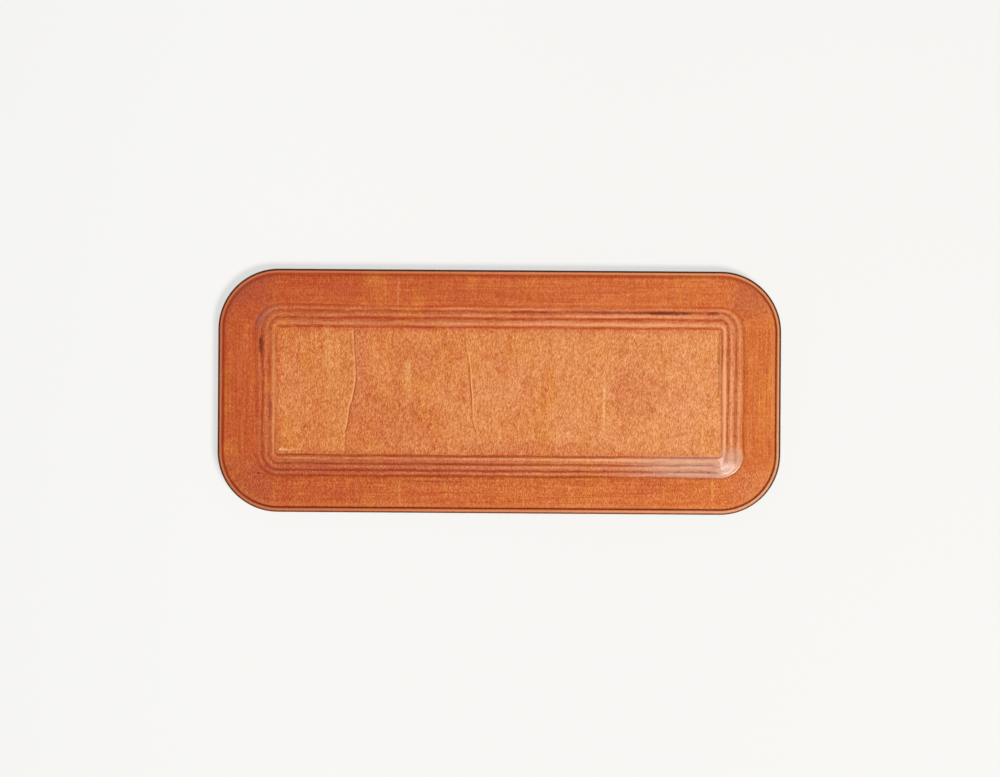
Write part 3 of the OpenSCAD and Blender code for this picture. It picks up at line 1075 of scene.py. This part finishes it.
def make_lining():
    """The leather under the tray, which follows the moulding in a softer way."""
    outline = even_outline(LENGTH, WIDTH, CORNER_RADIUS, 3, 24)
    upper_places = np.arange(EDGE_THICKNESS, LINING_RINGS_END, 3.0)
    upper_line = sheet_line(BACK_DEPTH)
    upper_heights = np.interp(upper_places, upper_line[:, 0], upper_line[:, 1])
    under_places = np.concatenate([np.arange(EDGE_THICKNESS, 22.0, 1.4),
                                   np.arange(22.4, LINING_RINGS_END, 0.5)])
    under_heights = softened(sheet_line(UNDER_DEPTH), under_places, 0.45)
    under_heights = np.maximum(under_heights, PAD_HIGH[2])
    rings = np.concatenate([np.stack([under_places, under_heights], axis=1)[::-1],
                            np.stack([upper_places, upper_heights], axis=1)])
    lining, points, inward, station, _ = swept_shell("lining_hide", outline, rings)
    below = np.arange(len(points)) < len(under_places) * outline.count
    turn = outline.turn[station]
    at_corner = ramp(corner_share(turn), 0.05, 0.6)
    pleat = np.sin((turn - np.floor(turn)) * math.pi * PLEATS) * at_corner * hill(inward, (3, 8), (18, 25))
    sag = np.zeros(len(points))
    sag[below] = 0.16 * noise_at(points[below], 21.0, 11.0) + 0.05 * noise_at(points[below], 5.0, 12.0)
    sag *= hill(inward, (1.5, 5.0), (30.0, 38.0))
    points[:, 2] += below * (0.10 * pleat + sag)
    add_attributes(lining, pleat=pleat * below)
    finish_points(lining, outline, points, inward, station)
    return lining


def lining_paint():
    """Thin brown hide, darker toward the rim where it is handled."""
    paint = Paint("lining_leather")
    place = paint.attribute("place", vector=True)
    lay = paint.attribute("lay", vector=True)
    inward = paint.attribute("inward")
    broad = paint.noise(place, 0.035, 4.0, 0.6)
    mottle = paint.noise(place, 0.16, 5.0, 0.7)
    fibre = paint.noise(paint.stretched(place, (0.35, 1.0, 1.0)), 1.6, 4.0, 0.7)
    grain = paint.noise(place, 0.9, 5.0, 0.85)
    hide = paint.mix(paint.between(broad, 0.35, 0.65), (0.190, 0.072, 0.029), (0.285, 0.125, 0.055))
    hide = paint.dyed(hide, mottle, 0.3, 0.7, 0.035)
    hide = paint.dyed(hide, fibre, 0.3, 0.7, 0.025)
    hide = paint.dyed(hide, grain, 0.3, 0.7, 0.035)
    uneven_in = paint.maths("ADD", inward, paint.between(mottle, 0.3, 0.7, -4.0, 4.0))
    hide = paint.over(hide, (0.095, 0.036, 0.018), paint.between(uneven_in, 2.0, 15.0, 0.55, 0.0))
    scuffs = paint.noise(paint.turned(place, 24, (1.0, 0.09, 1.0)), 0.5, 3.0, 0.6)
    hide = paint.over(hide, (0.400, 0.210, 0.110), paint.between(scuffs, 0.62, 0.74, 0.0, 0.45))
    pleats = paint.between(paint.attribute("pleat"), 0.2, 1.0, 0.0, 0.35)
    hide = paint.over(hide, (0.360, 0.170, 0.080), pleats)
    streak = paint.noise(paint.stretched(lay, (0.06, 0.06, 1.0)), 0.8, 3.0, 0.6)
    normal = paint.bump(fibre, 0.12, 0.6, paint.bump(grain, 0.30, 0.8))
    normal = paint.bump(streak, 0.15, 0.4, normal)
    rough = paint.between(mottle, 0.3, 0.7, 0.66, 0.82)
    paint.set_shader(base_color=hide, roughness=rough, normal=normal)
    return paint.material


# How far the pad's edge stays inside the CAD pad, and how far in its pressed line lies
PAD_INSET = 0.02
PRESSED_LINE_IN = 3.5


def make_pad():
    """The suede pad: soft edges and a line pressed in near them."""
    length, width = (PAD_HIGH - PAD_LOW)[:2]
    thick = PAD_HIGH[2] - PAD_LOW[2]
    radius = PANEL_CORNER_RADIUS + 4.0
    outline = even_outline(length, width, radius, 2.5, 12)
    rounded = [(0.45 * (1 - math.sin(a)) + PAD_INSET, thick / 2 * (1 - math.cos(a)))
               for a in np.linspace(0, math.pi, 11)]
    under = [(6.4, 0.0), (5.2, 0.0), (4.4, 0.0), (3.9, 0.08), (PRESSED_LINE_IN, 0.22), (3.1, 0.08)]
    under += [(2.6, 0.0), (1.4, 0.0)]
    top = [(1.4, thick), (3.0, thick), (6.4, thick)]
    pad, points, inward, station, _ = swept_shell("base_suede", outline, under + rounded + top)
    low = points[:, 2] < 0.3
    points[:, 2] += low * 0.05 * (1 + noise_at(points, 6.0, 31.0))
    points[:, :2] += 0.12 * np.stack([noise_at(points, 5.0, 32.0), noise_at(points, 5.0, 33.0)], axis=1)
    reach = np.array([length, width]) / 2 - PAD_INSET
    points[:, :2] = np.clip(points[:, :2], -reach, reach)
    finish_points(pad, outline, points, inward, station)
    return pad


def suede_paint():
    """Brushed brown suede, dark in its pressed line and rubbed pale at its edge."""
    paint = Paint("suede")
    place = paint.attribute("place", vector=True)
    inward = paint.attribute("inward")
    brushed = paint.noise(paint.turned(place, 12, (0.30, 1.0, 1.0)), 0.11, 5.0, 0.65, 0.6)
    nap = paint.noise(paint.turned(place, 12, (0.45, 1.0, 1.0)), 2.6, 4.0, 0.8)
    fluff = paint.noise(place, 1.1, 5.0, 0.85)
    suede = paint.mix(paint.between(brushed, 0.38, 0.62), (0.060, 0.034, 0.023), (0.125, 0.076, 0.052))
    suede = paint.shade(suede, nap, 0.3, 0.7, 0.72, 1.28)
    suede = paint.shade(suede, fluff, 0.3, 0.7, 0.82, 1.18)
    suede = paint.over(suede, (0.035, 0.019, 0.013), paint.near(inward, PRESSED_LINE_IN, 0.8), 0.6)
    suede = paint.over(suede, (0.165, 0.108, 0.078), paint.between(inward, 0.2, 1.6, 0.45, 0.0))
    normal = paint.bump(fluff, 0.35, 0.7, paint.bump(nap, 0.30, 0.8))
    paint.set_shader(base_color=suede, roughness=0.95, normal=normal)
    paint.set_shader(sheen_weight=0.35, sheen_roughness=0.45, specular_ior_level=0.2)
    return paint.material


def board_paint():
    """Pressed fibre board, for the core between the leathers."""
    paint = Paint("fibre_board")
    place = paint.object_place()
    fibres = paint.noise(paint.turned(place, 30, (0.25, 1.0, 1.0)), 1.4, 5.0, 0.75)
    crossing = paint.noise(paint.turned(place, -48, (0.25, 1.0, 1.0)), 1.1, 5.0, 0.75)
    cloud = paint.noise(place, 0.05, 3.0)
    board = paint.mix(paint.between(cloud, 0.35, 0.65), (0.250, 0.185, 0.115), (0.345, 0.265, 0.175))
    board = paint.shade(board, fibres, 0.3, 0.7, 0.72, 1.22)
    board = paint.shade(board, crossing, 0.3, 0.7, 0.80, 1.15)
    flecks = paint.between(paint.cells(place, 0.35), 0.05, 0.16, 0.7, 0.0)
    board = paint.over(board, (0.085, 0.058, 0.036), flecks)
    rough = paint.between(fibres, 0.3, 0.7, 0.80, 0.95)
    normal = paint.bump(crossing, 0.08, 0.6, paint.bump(fibres, 0.10, 0.6))
    paint.set_shader(base_color=board, roughness=rough, normal=normal)
    return paint.material


def wire_paint():
    """Drawn steel with patches of rust."""
    paint = Paint("steel_wire")
    place = paint.object_place()
    drawn = paint.noise(place, 2.2, 4.0, 0.7)
    rust = paint.between(paint.noise(place, 0.09, 5.0, 0.7), 0.55, 0.68, 0.0, 0.9)
    steel = paint.shade((0.46, 0.45, 0.44), drawn, 0.3, 0.7, 0.80, 1.15)
    steel = paint.over(steel, (0.200, 0.070, 0.028), rust)
    rough = paint.between(paint.maths("ADD", drawn, paint.times(rust, 0.5)), 0.3, 1.1, 0.28, 0.80)
    metal = paint.inverse(paint.times(rust, 0.9))
    normal = paint.bump(drawn, 0.05, 0.5)
    paint.set_shader(base_color=steel, roughness=rough, metallic=metal, normal=normal)
    return paint.material


def dress(piece, material, node):
    """Gives a new piece its material and its body, and hides the CAD node that it stands for."""
    piece.data.materials.append(material)
    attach(piece, "root")
    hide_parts(node)


def paint_node(name, material):
    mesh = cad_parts[name].data
    mesh.materials.clear()
    mesh.materials.append(material)


dress(make_face(), face_leather_paint(), "face_leather")
dress(make_edge(), edge_paint(), "edge_band")
dress(make_lining(), lining_paint(), "back_leather")
dress(make_pad(), suede_paint(), "base_pad")
paint_node("core_shell", board_paint())
paint_node("rim_wire", wire_paint())

# ---------------------------------------------------------------- studio

def area_light(name, place, size, power, width=None, roll=0.0, shadow=True):
    """A soft lamp at a place in metres, turned to the tray: round, or a strip if it has a width."""
    data = bpy.data.lights.new(name, "AREA")
    data.shape = "DISK" if width is None else "RECTANGLE"
    data.size = size
    data.size_y = width or size
    data.energy = power
    data.use_shadow = shadow
    lamp = new_object(name, data)
    lamp.location = place
    lamp.rotation_mode = "QUATERNION"
    aim = (-Vector(place)).to_track_quat("-Z", "Y")
    lamp.rotation_quaternion = aim @ Quaternion((0, 0, 1), math.radians(roll))


def make_floor():
    """A square of pale paper, 6 m wide, that glows a little, and most on its left."""
    reach = 3.0
    mesh = bpy.data.meshes.new("floor")
    corners = [(-reach, -reach, 0), (reach, -reach, 0), (reach, reach, 0), (-reach, reach, 0)]
    mesh.from_pydata(corners, [], [(0, 1, 2, 3)])
    floor = new_object("floor", mesh)
    paint = Paint("floor_paper")
    glow = paint.between(paint.split(paint.object_place())[0], -220, 130, 0.604, 0.580)
    paint.set_shader(base_color=(0.36, 0.34, 0.32), roughness=0.9, specular_ior_level=0.0)
    paint.set_shader(emission_color=(0.98, 1.0, 1.0), emission_strength=glow)
    mesh.materials.append(paint.material)


make_floor()
area_light("key", (1.05, -1.09, 2.63), 0.96, 68.5)
area_light("strip", (-0.10, 0.50, 1.16), 0.70, 3.0, width=0.20, roll=29, shadow=False)

WORLD_LIGHT = 0.20
world = bpy.data.worlds.new("studio")
bpy.context.scene.world = world
world.use_nodes = True
background = world.node_tree.nodes["Background"].inputs
background["Color"].default_value = (1, 1, 1, 1)
background["Strength"].default_value = WORLD_LIGHT

# The camera looks straight down and takes in a field this wide at the height of the rim
FOCAL_LENGTH = 85
SENSOR_WIDTH = 36
FIELD_WIDTH = 709.9
CAMERA_OVER = (0.45, 2.3)
CAMERA_TURN = 0.40
camera_data = bpy.data.cameras.new("camera")
camera_data.lens = FOCAL_LENGTH
camera_data.sensor_width = SENSOR_WIDTH
camera = new_object("camera", camera_data)
camera.location = Vector((*CAMERA_OVER, RIM_TOP + FIELD_WIDTH * FOCAL_LENGTH / SENSOR_WIDTH)) * MM
camera.rotation_euler = (0, 0, math.radians(CAMERA_TURN))
bpy.context.scene.camera = camera
bpy.context.scene.view_settings.view_transform = "Standard"
